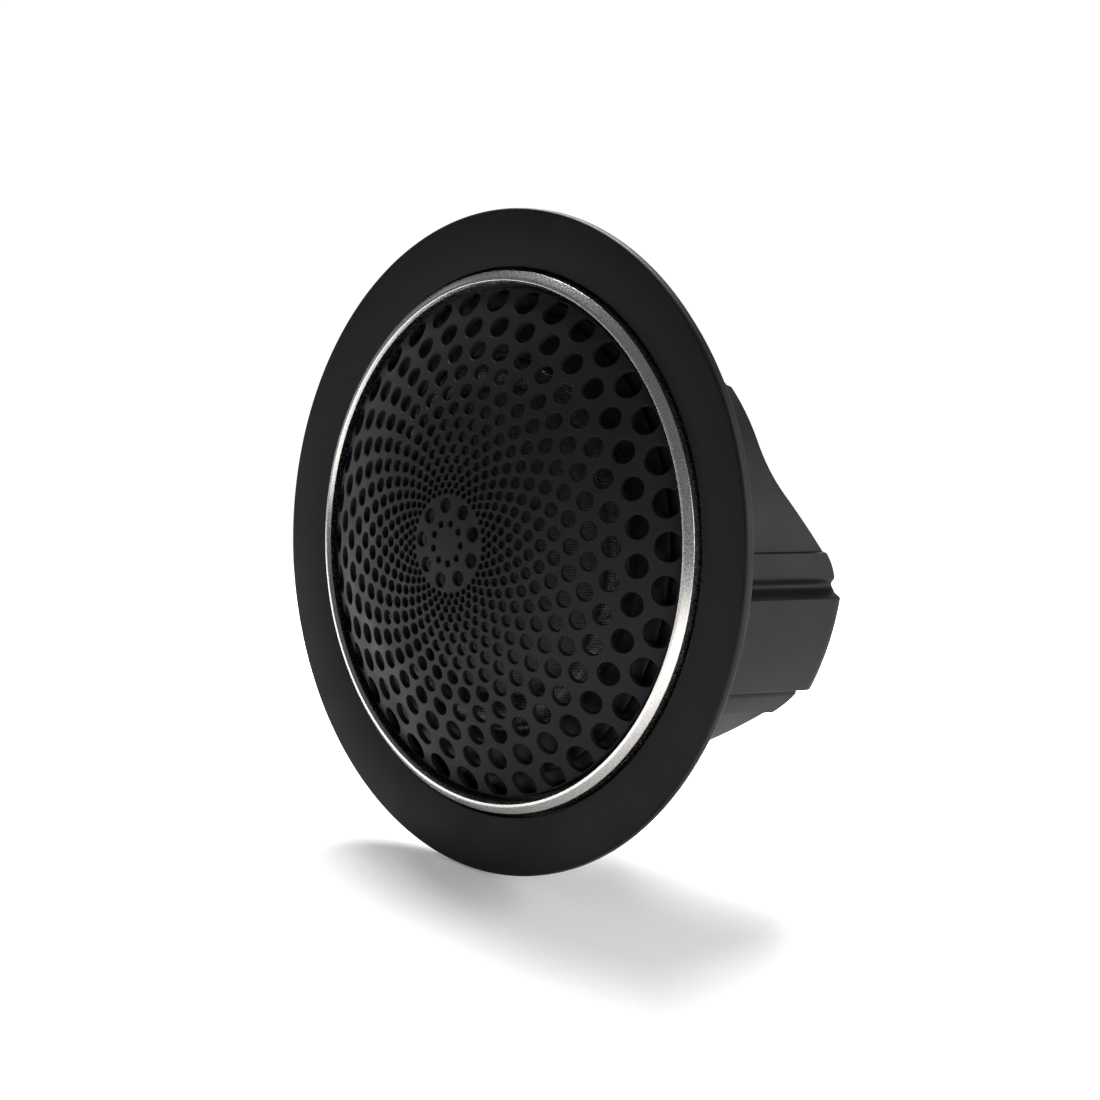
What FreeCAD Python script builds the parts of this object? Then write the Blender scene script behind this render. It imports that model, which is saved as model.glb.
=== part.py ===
import FreeCAD, Part
import math
import os
import re
import Sketcher
from FreeCAD import Placement, Rotation, Vector

# A flush-mount car tweeter: a 28 mm soft dome behind a perforated metal grille, in an insert
# that twists into a flanged mounting cup. The speaker's axis is Y: the grille faces -Y, the
# cup's legs point to +Y and +Z is up. The origin is on the axis, in the plane of the panel
# that the cup is mounted in. Lengths are millimetres and angles degrees.
SIZES = {
    # mounting cup
    "flange_radius": 29.0,
    "flange_front": 1.6,
    "flange_rim": 0.8,
    "edge_break": 0.15,
    "hub_radius": 24.0,
    "recess_radius": 23.9,
    "recess_floor": 0.6,
    "cup_bore": 19.1,
    "wall_radius": 20.3,
    "leg_depth": 18.7,
    "low_depth": 11.1,
    "notch_depth": 7.3,
    "leg_half_width": 6.1,
    "notch_half_width": 18.8,
    "ramp_blend": 5.0,
    "notch_blend": 0.8,
    "bridge_thickness": 2.0,
    "bridge_hole_radius": 2.2,
    "leg_turn": 24.3,
    "shoulder_radius": 20.7,
    "shoulder_angle": 44.0,
    "lobe_radius": 22.0,
    "lobe_angle": 24.6,
    "lobe_depth": 18.4,
    "lobe_blend": 0.7,
    "groove_radius": 20.05,
    "groove_angle": 2.2,
    # twist lock between cup and insert
    "channel_radius": 20.8,
    "channel_angle": 16.0,
    "pocket_radius": 20.0,
    "pocket_front": 4.6,
    "pocket_back": 7.2,
    "lug_radius": 19.75,
    "lug_angle": 10.0,
    "lug_margin": 1.5,
    "lock_turn": 14.0,
    "running_gap": 0.3,
    "thrust_gap": 0.05,
    "seat_gap": 0.1,
    # gasket
    "gasket_inner": 24.2,
    "gasket_outer": 28.5,
    # bezel ring
    "bezel_inner": 22.5,
    "bezel_outer": 23.57,
    "bezel_top": 2.68,
    "bezel_outer_slope": 0.79,
    "bezel_inner_slope": 0.2,
    "bezel_wall_top": 2.25,
    "bezel_inner_top": 2.38,
    # grille
    "grille_radius": 22.1,
    "grille_sphere": 39.6,
    "grille_rim": 2.0,
    "grille_sheet": 0.5,
    "rows": 14,
    "row_holes": 36,
    "row_radius": 21.03,
    "row_ratio": 0.89,
    "row_phase": -0.3,
    "outer_hole_share": 0.12,
    "hole_share": 0.111,
    "crown_holes": 9,
    "crown_radius": 3.28,
    "crown_hole_radius": 0.65,
    "crown_phase": 14.0,
    "core_radius": 1.75,
    "core_hole_radius": 0.3,
    # insert shell
    "lip_top": 1.15,
    "lip_radius": 23.6,
    "shell_inner": 17.3,
    "shell_back": 10.5,
    "ledge_inner": 16.0,
    "ledge_front": 0.4,
    # diaphragm frame and face plate
    "frame_inner": 15.6,
    "frame_outer": 20.0,
    "frame_top": 1.55,
    "plate_inner": 16.4,
    "plate_outer": 20.4,
    "plate_rim_top": 1.85,
    "plate_crest": 17.3,
    "plate_top": 2.35,
    # diaphragm
    "dome_radius": 13.35,
    "dome_base": 1.9,
    "dome_height": 3.9,
    "dome_skin": 0.25,
    "dome_sphere": 24.8,
    "dome_foot": 12.9,
    "roll_inner": 13.4,
    "roll_outer": 16.0,
    "roll_radius": 1.45,
    "surround_skin": 0.2,
    "surround_edge": 17.4,
    "former_inner": 13.05,
    "former_outer": 13.2,
    "former_back": 3.7,
    "coil_outer": 13.7,
    "coil_front": 1.1,
    "coil_back": 3.4,
    # motor
    "pole_radius": 12.7,
    "pole_front": 1.0,
    "pole_back": 3.5,
    "magnet_radius": 12.3,
    "magnet_back": 7.5,
    "yoke_inner": 14.05,
    "yoke_outer": 16.6,
    "yoke_back": 10.2,
    "yoke_chamfer": 0.5,
    "felt_radius": 11.0,
    "felt_thickness": 1.0,
    # rear cover, foam and screw
    "cover_step": 11.7,
    "cover_back": 14.6,
    "cover_flat": 16.0,
    "cover_wall": 1.2,
    "cover_boss": 3.4,
    "screw_clearance": 1.7,
    "screw_radius": 1.5,
    "screw_front": 8.0,
    "screw_head_radius": 2.75,
    "screw_head_height": 1.2,
    "screw_head_bevel": 0.4,
    "screw_socket": 1.15,
    "screw_socket_depth": 0.8,
    "foam_inner": 3.6,
    "foam_outer": 15.1,
    # terminals and leads
    "board_width": 9.6,
    "board_height": 4.4,
    "board_thickness": 1.0,
    "terminal_distance": 11.8,
    "terminal_spacing": 6.0,
    "tab_width": 2.8,
    "tab_thickness": 0.5,
    "tab_front": 10.5,
    "tab_back": 19.7,
    "tab_lead_in": 0.6,
    "tab_slot_gap": 0.1,
    "foam_notch": 10.4,
    "foam_notch_from": 9.2,
    "lead_spread": 12.0,
    "lead_slot_angle": 4.4,
    "wire_radius": 0.25,
    "wire_distance": 16.95,
    "wire_start": 0.55,
    "wire_bend": 0.8,
    "wire_level": 10.65,
    "tinsel_radius": 0.15,
    "tinsel_start": 0.4,
    "tinsel_middle": 14.9,
    "tinsel_rise": 0.85,
    "tinsel_end": 0.3,
    # how far a cutting shape reaches past the wall it cuts
    "overshoot": 1.0,
}

CHAMBER_FRONT = "yoke_back"
COVER_INSIDE = "cover_back - cover_wall"
TWICE = 2
FULL_TURN = "360"

doc = FreeCAD.newDocument("car_tweeter")
sheet = doc.addObject("Spreadsheet::Sheet", "Sizes")
for row, (alias, number) in enumerate(SIZES.items(), start=1):
    sheet.set(f"A{row}", alias)
    sheet.set(f"B{row}", str(number))
    sheet.setAlias(f"B{row}", alias)
doc.recompute()


def bound(text):
    """The expression with each size's name spelled as its spreadsheet cell."""
    return re.sub(r"[a-z_]+[a-z]", lambda word: f"Sizes.{word[0]}" if word[0] in SIZES else word[0], text)


def value(text):
    """The number that an expression over the sizes comes to."""
    return float(sheet.evalExpression(bound(text)))


# Sketching

def arc_between(start, end, radius, bulge):
    """Arc from start to end that bulges left or right of the way from one to the other."""
    chord = end - start
    middle = (start + end) * 0.5
    left = Vector(-chord.y, chord.x, 0).normalize()
    reach = math.sqrt(radius**2 - (chord.Length / 2) ** 2)
    centre = middle - left * reach if bulge == "left" else middle + left * reach
    first, last = (end, start) if bulge == "left" else (start, end)
    from_angle = math.atan2(first.y - centre.y, first.x - centre.x)
    to_angle = math.atan2(last.y - centre.y, last.x - centre.x)
    if to_angle < from_angle:
        to_angle += 2 * math.pi
    return Part.ArcOfCircle(Part.Circle(centre, Vector(0, 0, 1), radius), from_angle, to_angle)


def hold(sketch, kind, *items):
    """Adds a constraint whose last item is an expression, and binds it."""
    index = sketch.addConstraint(Sketcher.Constraint(kind, *items[:-1], value(items[-1])))
    sketch.setExpression(f"Constraints[{index}]", bound(items[-1]))


def hold_point(sketch, edge, end, across, along):
    """Fixes one end of an edge at (across, along) from the sketch's origin."""
    if across == "0":
        sketch.addConstraint(Sketcher.Constraint("PointOnObject", edge, end, -2))
    else:
        hold(sketch, "DistanceX", -1, 1, edge, end, across)
    if along == "0":
        sketch.addConstraint(Sketcher.Constraint("PointOnObject", edge, end, -1))
    else:
        hold(sketch, "DistanceY", -1, 1, edge, end, along)


def draw_outline(sketch, corners):
    """Closed outline. A corner is (across, along), and with (radius, bulge) it starts an arc."""
    points = [Vector(value(corner[0]), value(corner[1]), 0) for corner in corners]
    ends = []
    for index, corner in enumerate(corners):
        start = points[index]
        end = points[(index + 1) % len(points)]
        if len(corner) == 2:
            sketch.addGeometry(Part.LineSegment(start, end), False)
            ends.append((1, 2))
        else:
            sketch.addGeometry(arc_between(start, end, value(corner[2]), corner[3]), False)
            ends.append((2, 1) if corner[3] == "left" else (1, 2))
    for index, (first, last) in enumerate(ends):
        following = (index + 1) % len(ends)
        sketch.addConstraint(
            Sketcher.Constraint("Coincident", index, last, following, ends[following][0])
        )
    for index, corner in enumerate(corners):
        hold_point(sketch, index, ends[index][0], corner[0], corner[1])
        if len(corner) > 2:
            hold(sketch, "Radius", index, corner[2])


def origin_feature(body, role):
    return next(feature for feature in body.Origin.OriginFeatures if feature.Role == role)


def sketch_on(body, role, name, corners, turn="0"):
    """Sketch on one of the body's origin planes, turned about the sketch's upright axis."""
    sketch = body.newObject("Sketcher::SketchObject", name)
    sketch.AttachmentSupport = (origin_feature(body, role), [""])
    sketch.MapMode = "FlatFace"
    if turn != "0":
        sketch.AttachmentOffset = Placement(Vector(), Rotation(Vector(0, 1, 0), value(turn)))
        sketch.setExpression("AttachmentOffset.Rotation.Angle", bound(turn))
    draw_outline(sketch, corners)
    doc.recompute()
    return sketch


def new_body(label, turn="0"):
    """Body turned about the speaker's axis, so that its own +X is the legs' direction."""
    body = doc.addObject("PartDesign::Body", label)
    body.Label = label
    if turn != "0":
        body.Placement = Placement(Vector(), Rotation(Vector(0, 1, 0), value(turn)))
    return body


def turned(body, name, corners, angle=FULL_TURN, turn="0", cut=False):
    """Revolves a half section about the speaker's axis, adding or cutting, over an angle."""
    sketch = sketch_on(body, "XY_Plane", f"{name}_section", corners, turn)
    before = body.Shape.Volume if body.Tip else 0.0
    feature = body.newObject("PartDesign::Groove" if cut else "PartDesign::Revolution", name)
    feature.Profile = sketch
    feature.ReferenceAxis = (sketch, ["V_Axis"])
    feature.Midplane = True
    feature.setExpression("Angle", bound(angle))
    body.Tip = feature
    doc.recompute()
    if cut and body.Shape.Volume >= before:
        raise RuntimeError(f"{name} cuts nothing")
    return feature


def both_sides(body, name, features):
    """Repeats features half a turn round the speaker's axis."""
    pattern = body.newObject("PartDesign::PolarPattern", name)
    pattern.Originals = features
    pattern.Axis = (origin_feature(body, "Y_Axis"), [""])
    pattern.Angle = 360
    pattern.Occurrences = TWICE
    body.Tip = pattern
    doc.recompute()
    return pattern


def rectangle(inner, outer, front, back):
    """Corners of a section from radius inner to outer and from front to back."""
    return [(inner, front), (outer, front), (outer, back), (inner, back)]


def lathe(label, corners, turn="0"):
    """Body made of one full revolution."""
    body = new_body(label, turn)
    turned(body, f"{label}_form", corners)
    return body


# Mounting cup and gasket

def flange_and_wall():
    rim_back = "flange_rim - flange_front"
    bridge_front = "leg_depth - bridge_thickness"
    return [
        ("cup_bore", "-recess_floor"),
        ("recess_radius", "-recess_floor"),
        ("recess_radius", "-flange_front"),
        ("flange_radius - edge_break", "-flange_front"),
        ("flange_radius", "edge_break - flange_front"),
        ("flange_radius", rim_back),
        ("hub_radius", rim_back),
        ("hub_radius", "0"),
        ("wall_radius", "0"),
        ("wall_radius", "leg_depth"),
        ("bridge_hole_radius", "leg_depth"),
        ("bridge_hole_radius", bridge_front),
        ("cup_bore", bridge_front),
    ]


def lobe_section():
    """A leg's outward lobe, with its rear corner rounded."""
    return [
        ("wall_radius - edge_break", "-recess_floor / 2"),
        ("lobe_radius", "-recess_floor / 2"),
        ("lobe_radius", "lobe_depth - lobe_blend", "lobe_blend", "right"),
        ("lobe_radius - lobe_blend", "lobe_depth"),
        ("wall_radius - edge_break", "lobe_depth"),
    ]


def side_cut_outline():
    """What is cut away beside a leg: a notch, a low wall and a 45 degree ramp, seen from the side."""
    outside = "flange_radius"
    behind = "leg_depth + overshoot"
    ramp_foot = "leg_half_width + leg_depth - low_depth"
    tangent = "ramp_blend * tan(22.5 deg)"
    slant = "ramp_blend * tan(22.5 deg) * cos(45 deg)"
    return [
        ("notch_depth", outside),
        ("notch_depth", "notch_half_width"),
        ("low_depth - notch_blend", "notch_half_width", "notch_blend", "left"),
        ("low_depth", "notch_half_width - notch_blend"),
        ("low_depth", f"{ramp_foot} + {tangent}", "ramp_blend", "right"),
        (f"low_depth + {slant}", f"{ramp_foot} - {slant}"),
        (f"leg_depth - {slant}", f"leg_half_width + {slant}", "ramp_blend", "left"),
        ("leg_depth", f"leg_half_width - {tangent}"),
        (behind, f"leg_half_width - {tangent}"),
        (behind, outside),
    ]


def cut_sides(body):
    """Cuts the wall down to its notches, low walls and ramps, on both sides of the legs."""
    sketch = sketch_on(body, "YZ_Plane", "side_outline", side_cut_outline())
    before = body.Shape.Volume
    pocket = body.newObject("PartDesign::Pocket", "side_cut")
    pocket.Profile = sketch
    pocket.Type = "Length"
    pocket.setExpression("Length", bound("2 * flange_radius"))
    pocket.Midplane = True
    body.Tip = pocket
    doc.recompute()
    mirror = body.newObject("PartDesign::Mirrored", "other_side_cut")
    mirror.Originals = [pocket]
    mirror.MirrorPlane = (origin_feature(body, "XY_Plane"), [""])
    body.Tip = mirror
    doc.recompute()
    if body.Shape.Volume >= before:
        raise RuntimeError("side_cut cuts nothing")


def make_mounting_cup():
    body = new_body("mounting_cup", "leg_turn")
    turned(body, "flange_and_wall", flange_and_wall())
    shoulder = rectangle("wall_radius - edge_break", "shoulder_radius", "-recess_floor / 2", "leg_depth")
    groove = rectangle("groove_radius", "lobe_radius + overshoot", "0", "leg_depth + overshoot")
    channel = rectangle(
        "cup_bore - overshoot", "channel_radius", "-recess_floor - overshoot", "pocket_back"
    )
    pocket = rectangle("cup_bore - overshoot", "pocket_radius", "pocket_front", "pocket_back")
    groove_turn = "(lobe_angle + groove_angle) / 2"
    pocket_angle = "channel_angle / 2 + lock_turn + lug_angle / 2 + lug_margin"
    pocket_turn = "(channel_angle / 2 - lock_turn - lug_angle / 2 - lug_margin) / 2"
    features = [
        turned(body, "shoulder", shoulder, "shoulder_angle"),
        turned(body, "lobe", lobe_section(), "lobe_angle"),
        turned(body, "upper_groove", groove, "groove_angle", groove_turn, cut=True),
        turned(body, "lower_groove", groove, "groove_angle", f"-({groove_turn})", cut=True),
        turned(body, "lug_channel", channel, "channel_angle", cut=True),
        turned(body, "lug_pocket", pocket, pocket_angle, pocket_turn, cut=True),
    ]
    both_sides(body, "second_leg", features)
    cut_sides(body)
    return body


def make_flange_gasket():
    return lathe(
        "flange_gasket",
        rectangle("gasket_inner", "gasket_outer", "flange_rim - flange_front", "0"),
    )


# Front of the insert

def make_bezel_ring():
    return lathe("bezel_ring", [
        ("bezel_inner", "-lip_top"),
        ("bezel_outer", "-lip_top"),
        ("bezel_outer", "-bezel_wall_top"),
        ("bezel_outer - bezel_outer_slope", "-bezel_top"),
        ("bezel_inner + bezel_inner_slope", "-bezel_top"),
        ("bezel_inner", "-bezel_inner_top"),
    ])


def sphere_level(radius, sheet_inset="0"):
    """Expression for the grille's surface along the axis at a radius."""
    centre = "(sqrt(grille_sphere ^ 2 - grille_radius ^ 2) - grille_rim)"
    return f"{centre} - sqrt((grille_sphere - {sheet_inset}) ^ 2 - ({radius}) ^ 2)"


def make_grille_blank():
    """The grille before its holes: a spherical cap with a short skirt."""
    inside = "grille_radius - grille_sheet"
    return lathe("grille_blank", [
        ("0", sphere_level("0"), "grille_sphere", "right"),
        ("grille_radius", "-grille_rim"),
        ("grille_radius", "-lip_top"),
        (inside, "-lip_top"),
        (inside, sphere_level(inside, "grille_sheet"), "grille_sphere - grille_sheet", "left"),
        ("0", sphere_level("0", "grille_sheet")),
    ])


def grille_punch(radius, hole_radius, angle):
    """Cylinder square to the grille's surface at a radius and an angle from +X towards +Z."""
    sphere = value("grille_sphere")
    centre = Vector(0, value("sqrt(grille_sphere ^ 2 - grille_radius ^ 2) - grille_rim"), 0)
    tilt = math.asin(radius / sphere)
    around = math.radians(angle)
    outward = Vector(
        math.sin(tilt) * math.cos(around), -math.cos(tilt), math.sin(tilt) * math.sin(around)
    )
    reach = 3 * value("grille_sheet")
    return Part.makeCylinder(hole_radius, 2 * reach, centre + outward * (sphere - reach), outward)


def ring_of_punches(count, radius, hole_radius, phase):
    return [
        grille_punch(radius, hole_radius, phase + 360 * index / count) for index in range(count)
    ]


def make_punches():
    """Every hole of the grille: rows that shrink towards the crown, each half a pitch round."""
    count = int(value("row_holes"))
    crown_count = int(value("crown_holes"))
    punches = []
    for row in range(int(value("rows"))):
        radius = value("row_radius") * value("row_ratio") ** row
        share = value("hole_share") if row else value("outer_hole_share")
        phase = value("row_phase") + 180 / count * (row % 2)
        punches += ring_of_punches(count, radius, share * radius / 2, phase)
    phase = value("crown_phase")
    punches += ring_of_punches(crown_count, value("crown_radius"), value("crown_hole_radius"), phase)
    half_pitch = 180 / crown_count
    punches += ring_of_punches(
        crown_count, value("core_radius"), value("core_hole_radius"), phase + half_pitch
    )
    feature = doc.addObject("Part::Feature", "grille_punches")
    feature.Shape = Part.makeCompound(punches)
    return feature


def make_grille():
    cut = doc.addObject("Part::Cut", "grille")
    cut.Base = make_grille_blank()
    cut.Tool = make_punches()
    cut.Label = "grille"
    return cut


def lead_turns():
    """Turns from the legs' direction to the two leads, either side of the cup's lower notch."""
    return ["90 - lead_spread", "90 + lead_spread"]


def make_body_shell():
    body = new_body("body_shell", "leg_turn")
    lip_bottom = "-(recess_floor + seat_gap)"
    turned(body, "tube_and_lip", [
        ("shell_inner", "-lip_top"),
        ("lip_radius", "-lip_top"),
        ("lip_radius", lip_bottom),
        ("cup_bore - running_gap", lip_bottom),
        ("cup_bore - running_gap", "shell_back"),
        ("shell_inner", "shell_back"),
        ("shell_inner", "pole_front"),
        ("ledge_inner", "pole_front"),
        ("ledge_inner", "ledge_front"),
        ("shell_inner", "ledge_front"),
    ])
    for index, turn in enumerate(lead_turns()):
        slot = rectangle(
            "ledge_inner - overshoot",
            "shell_inner",
            "ledge_front - overshoot",
            "pole_front + overshoot",
        )
        turned(body, f"lead_slot_{index}", slot, "lead_slot_angle", turn, cut=True)
    lug = rectangle(
        "cup_bore - running_gap - edge_break",
        "lug_radius",
        "pocket_front + running_gap",
        "pocket_back - running_gap",
    )
    lug_feature = turned(body, "lug", lug, "lug_angle", "-lock_turn")
    both_sides(body, "second_lug", [lug_feature])
    return body


def make_diaphragm_frame():
    body = new_body("diaphragm_frame", "leg_turn")
    turned(body, "frame_ring", [
        ("frame_inner", "-frame_top"),
        ("frame_outer", "-frame_top"),
        ("frame_outer", "-lip_top"),
        ("shell_inner - seat_gap", "-lip_top"),
        ("shell_inner - seat_gap", "ledge_front"),
        ("frame_inner", "ledge_front"),
    ])
    for index, turn in enumerate(lead_turns()):
        slot = rectangle(
            "frame_inner - overshoot",
            "shell_inner",
            "seat_gap - lip_top",
            "ledge_front + overshoot",
        )
        turned(body, f"frame_slot_{index}", slot, "lead_slot_angle", turn, cut=True)
    return body


def make_face_plate():
    surround_top = "-frame_top - surround_skin"
    return lathe("face_plate", [
        ("plate_inner", surround_top),
        ("surround_edge + thrust_gap", surround_top),
        ("surround_edge + thrust_gap", "-frame_top"),
        ("plate_outer", "-frame_top"),
        ("plate_outer", "-plate_rim_top"),
        ("plate_crest", "-plate_top"),
        ("plate_inner", "edge_break - plate_top"),
    ])


# Diaphragm

def make_dome():
    sphere = "dome_sphere"
    inner_sphere = "dome_sphere - dome_skin"
    back = "-dome_base + dome_skin"
    return lathe("dome", [
        ("0", "-dome_base - dome_height", sphere, "right"),
        ("dome_radius", "-dome_base"),
        ("dome_radius", back),
        ("dome_foot", back, inner_sphere, "left"),
        ("0", "-dome_base - dome_height + dome_skin"),
    ])


def make_surround():
    """Half roll between the dome and the frame, with a flat edge that is clamped outside."""
    back = "-frame_top"
    front = "-frame_top - surround_skin"
    return lathe("surround", [
        ("roll_inner", front, "roll_radius", "right"),
        ("roll_outer + surround_skin", front),
        ("surround_edge", front),
        ("surround_edge", back),
        ("roll_outer", back, "roll_radius - surround_skin", "left"),
        ("roll_inner + surround_skin", back),
        ("roll_inner", back),
    ])


def make_coil_former():
    return lathe(
        "coil_former",
        rectangle("former_inner", "former_outer", "-dome_base + dome_skin", "former_back"),
    )


def make_voice_coil():
    return lathe("voice_coil", rectangle("former_outer", "coil_outer", "coil_front", "coil_back"))


# Motor

def make_pole_plate():
    return lathe("pole_plate", rectangle("0", "pole_radius", "pole_front", "pole_back"))


def make_magnet():
    return lathe("magnet", rectangle("0", "magnet_radius", "pole_back", "magnet_back"))


def make_yoke():
    return lathe("yoke", [
        ("screw_radius", "magnet_back"),
        ("yoke_inner", "magnet_back"),
        ("yoke_inner", "pole_front"),
        ("yoke_outer", "pole_front"),
        ("yoke_outer", "yoke_back - yoke_chamfer"),
        ("yoke_outer - yoke_chamfer", "yoke_back"),
        ("screw_radius", "yoke_back"),
    ])


def make_damping_felt():
    return lathe("damping_felt", rectangle("0", "felt_radius", "pole_front - felt_thickness", "pole_front"))


# Rear of the insert

def make_box(name, width, thickness, height, middle, front, up):
    """Box of width along X and height along Z about (middle, up), and of thickness from front."""
    box = doc.addObject("Part::Box", name)
    box.setExpression("Length", bound(width))
    box.setExpression("Width", bound(thickness))
    box.setExpression("Height", bound(height))
    box.setExpression("Placement.Base.x", bound(f"{middle} - ({width}) / 2"))
    box.setExpression("Placement.Base.y", bound(front))
    box.setExpression("Placement.Base.z", bound(f"{up} - ({height}) / 2"))
    return box


def make_cut(label, base, tool):
    """Base less the tool, turned about the speaker's axis to the legs' direction."""
    cut = doc.addObject("Part::Cut", label)
    cut.Base = base
    cut.Tool = tool
    cut.Label = label
    cut.Placement = Placement(Vector(), Rotation(Vector(0, 1, 0), value("leg_turn")))
    return cut


def terminal_slots(name, gap):
    """Boxes where the two tabs pass through a wall, gap wider than a tab on each side."""
    slots = doc.addObject("Part::MultiFuse", name)
    slots.Shapes = [
        make_box(
            f"{name}_{side}",
            f"tab_width + 2 * {gap}",
            "tab_back - tab_front",
            f"tab_thickness + 2 * {gap}",
            f"{sign}terminal_spacing / 2",
            "tab_front",
            "-terminal_distance",
        )
        for side, sign in (("positive", ""), ("negative", "-"))
    ]
    return slots


def make_rear_cover():
    blank = lathe("rear_cover_blank", [
        ("shell_inner", "shell_back"),
        ("cup_bore - running_gap", "shell_back"),
        ("cup_bore - running_gap", "cover_step"),
        ("cover_flat", "cover_back"),
        ("screw_clearance", "cover_back"),
        ("screw_clearance", CHAMBER_FRONT),
        ("cover_boss", CHAMBER_FRONT),
        ("cover_boss", COVER_INSIDE),
        ("cover_flat - cover_wall / 2", COVER_INSIDE),
        ("shell_inner", "cover_step - cover_wall / 4"),
    ])
    return make_cut("rear_cover", blank, terminal_slots("cover_slot", "tab_slot_gap"))


def make_chamber_foam():
    blank = lathe("foam_blank", rectangle("foam_inner", "foam_outer", CHAMBER_FRONT, COVER_INSIDE))
    notch = make_box(
        "foam_notch_box",
        "foam_notch",
        "cover_back - yoke_back",
        "2 * foam_outer - 2 * foam_notch_from",
        "0",
        CHAMBER_FRONT,
        "-foam_outer",
    )
    return make_cut("chamber_foam", blank, notch)


def make_terminal_board():
    blank = make_box(
        "board_blank",
        "board_width",
        "board_thickness",
        "board_height",
        "0",
        f"{COVER_INSIDE} - board_thickness",
        "-terminal_distance",
    )
    return make_cut("terminal_board", blank, terminal_slots("board_slot", "0"))


def make_terminal(side, sign):
    """Blade tab with its two rear corners cut to a lead-in."""
    body = new_body(f"terminal_{side}", "leg_turn")
    near = f"{sign}terminal_spacing / 2 - tab_width / 2"
    far = f"{sign}terminal_spacing / 2 + tab_width / 2"
    corners = [
        (near, "tab_front"),
        (far, "tab_front"),
        (far, "tab_back - tab_lead_in"),
        (f"{far} - tab_lead_in", "tab_back"),
        (f"{near} + tab_lead_in", "tab_back"),
        (near, "tab_back - tab_lead_in"),
    ]
    sketch = sketch_on(body, "XY_Plane", f"tab_{side}_outline", corners)
    sketch.setExpression("AttachmentOffset.Base.z", bound("-terminal_distance"))
    pad = body.newObject("PartDesign::Pad", f"tab_{side}")
    pad.Profile = sketch
    pad.Midplane = True
    pad.setExpression("Length", bound("tab_thickness"))
    body.Tip = pad
    return body


def make_rear_screw():
    head_back = "cover_back + screw_head_height"
    blank = lathe("rear_screw_blank", [
        ("0", "screw_front"),
        ("screw_radius", "screw_front"),
        ("screw_radius", "cover_back"),
        ("screw_head_radius", "cover_back"),
        ("screw_head_radius", f"{head_back} - screw_head_bevel"),
        ("screw_head_radius - screw_head_bevel", head_back),
        ("0", head_back),
    ])
    socket = doc.addObject("Part::Prism", "screw_socket_prism")
    socket.Polygon = 6
    socket.setExpression("Circumradius", bound("screw_socket"))
    socket.setExpression("Height", bound("screw_socket_depth + overshoot"))
    socket.Placement = Placement(Vector(), Rotation(Vector(1, 0, 0), -90))
    socket.setExpression("Placement.Base.y", bound(f"{head_back} - screw_socket_depth"))
    cut = doc.addObject("Part::Cut", "rear_screw")
    cut.Base = blank
    cut.Tool = socket
    cut.Label = "rear_screw"
    return cut


# Leads

def tube_along(label, edges, radius, turn):
    """Round wire along edges drawn in the XY plane, turned about the speaker's axis."""
    path = Part.Wire(edges)
    start = edges[0].valueAt(edges[0].FirstParameter)
    heading = edges[0].tangentAt(edges[0].FirstParameter)
    disc = Part.Wire(Part.makeCircle(radius, start, heading))
    feature = doc.addObject("Part::Feature", label)
    feature.Shape = path.makePipeShell([disc], True, True)
    feature.Label = label
    feature.Placement = Placement(Vector(), Rotation(Vector(0, 1, 0), turn))
    return feature


def make_terminal_wire(side, turn):
    """Insulated wire from the diaphragm frame, down beside the yoke, to a terminal."""
    out = value("wire_distance")
    bend = value("wire_bend")
    level = value("wire_level")
    middle = Vector(out - bend + bend * math.sqrt(0.5), level - bend + bend * math.sqrt(0.5), 0)
    end = value("terminal_distance") / math.cos(math.radians(value("lead_spread")))
    down = Part.LineSegment(Vector(out, -value("wire_start"), 0), Vector(out, level - bend, 0))
    corner = Part.Arc(Vector(out, level - bend, 0), middle, Vector(out - bend, level, 0))
    inward = Part.LineSegment(
        Vector(out - bend, level, 0), Vector(end + value("tab_thickness"), level, 0)
    )
    edges = [down.toShape(), corner.toShape(), inward.toShape()]
    return tube_along(f"terminal_wire_{side}", edges, value("wire_radius"), turn)


def make_tinsel_lead(side, turn):
    """Flexible braid from the voice coil's former to the terminal wire."""
    clear = value("tinsel_radius + thrust_gap")
    start = Vector(value("former_outer") + clear, value("tinsel_start"), 0)
    middle = Vector(value("tinsel_middle"), -value("tinsel_rise"), 0)
    end = Vector(value("wire_distance - wire_radius - thrust_gap"), value("-tinsel_end"), 0)
    curve = Part.Arc(start, middle, end)
    return tube_along(f"tinsel_lead_{side}", [curve.toShape()], value("tinsel_radius"), turn)


def make_parts():
    parts = [
        make_mounting_cup(),
        make_flange_gasket(),
        make_bezel_ring(),
        make_grille(),
        make_body_shell(),
        make_diaphragm_frame(),
        make_face_plate(),
        make_dome(),
        make_surround(),
        make_coil_former(),
        make_voice_coil(),
        make_pole_plate(),
        make_magnet(),
        make_yoke(),
        make_damping_felt(),
        make_rear_cover(),
        make_chamber_foam(),
        make_rear_screw(),
        make_terminal_board(),
    ]
    for side, sign, turn in zip(("positive", "negative"), ("", "-"), lead_turns()):
        angle = value("leg_turn") + value(turn)
        parts.append(make_terminal(side, sign))
        parts.append(make_terminal_wire(side, angle))
        parts.append(make_tinsel_lead(side, angle))
    return parts


def check_document():
    """Stops if any object failed to build."""
    for item in doc.Objects:
        if "Invalid" in item.State or "Error" in item.State:
            raise RuntimeError(f"{item.Name} failed: {item.State}")


def write_parts(parts):
    os.makedirs("parts", exist_ok=True)
    for part in parts:
        shape = part.Shape
        if shape.isNull() or not shape.isValid() or not shape.Solids:
            raise RuntimeError(f"{part.Label} is not a valid solid")
        shape.exportStep(f"parts/{part.Label}.step")
        box = shape.BoundBox
        print(f"{part.Label:24s} solids {len(shape.Solids)} volume {shape.Volume:9.2f} "
              f"y {box.YMin:7.2f} {box.YMax:6.2f}")


made = make_parts()
doc.recompute()
check_document()
write_parts(made)
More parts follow.
